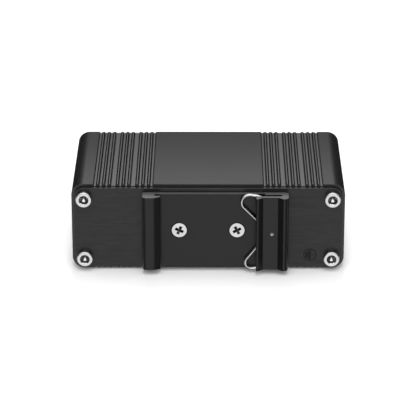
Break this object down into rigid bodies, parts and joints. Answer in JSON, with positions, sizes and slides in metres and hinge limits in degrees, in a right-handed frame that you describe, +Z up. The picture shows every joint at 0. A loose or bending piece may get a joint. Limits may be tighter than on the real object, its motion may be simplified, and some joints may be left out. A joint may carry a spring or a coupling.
{
  "type": "serial to fiber converter",
  "caption": "Flat black converter in a ribbed extruded case: fibre sockets, a serial socket, a screw terminal and status lamps in front, and a sprung clip for a top-hat rail behind.",
  "frame": {"origin": "on the surface it lies on, under the middle of its whole box", "axes": "+X along the long side, towards the clip's spring; +Y from the rail clip to the front plate; +Z up, off the broad ribbed face it lies on"},
  "size_m": [0.09, 0.0654, 0.03],
  "materials": {
    "case_black": "black anodised, fine matt grain",
    "plate_black": "black anodised over a fine brushed grain",
    "clip_black": "black anodised extrusion, satin",
    "screw_steel": "bright zinc",
    "spring_steel": "bright drawn wire",
    "board_green": "green solder mask",
    "port_plastic": "moulded, matt",
    "sleeve_white": "smooth white",
    "contact_metal": "tinned and gilt contact metal",
    "shell_nickel": "nickel plated",
    "terminal_green": "moulded, matt",
    "lamp_lens": "clear moulding",
    "chip_black": "moulded, matt",
    "can_metal": "bright can"
  },
  "bodies": {
    "root": {"extruded_case": "case_black", "rear_plate": "plate_black", "front_plate": "plate_black", "rear_plate_screws": "screw_steel", "front_plate_screws": "screw_steel", "din_clip": "clip_black", "din_clip_screws": "screw_steel", "clip_nuts": "screw_steel", "din_spring": "spring_steel", "spring_pin": "screw_steel", "main_board": "board_green", "fibre_transceiver": "port_plastic", "ferrule_sleeves": "sleeve_white", "fibre_latches": "port_plastic", "transceiver_pins": "contact_metal", "serial_shell": "shell_nickel", "serial_contact_block": "port_plastic", "serial_rear_body": "port_plastic", "serial_contacts": "contact_metal", "serial_brackets": "shell_nickel", "serial_jackscrews": "shell_nickel", "power_header": "terminal_green", "power_pins": "contact_metal", "power_plug": "terminal_green", "power_clamps": "contact_metal", "power_screws": "screw_steel", "lamp_block": "port_plastic", "lamp_lenses": "lamp_lens", "processor_chip": "chip_black", "line_driver_chips": "chip_black", "power_module": "chip_black", "power_inductor": "chip_black", "bulk_capacitors": "can_metal", "clock_crystal": "can_metal"}
  },
  "joints": []
}
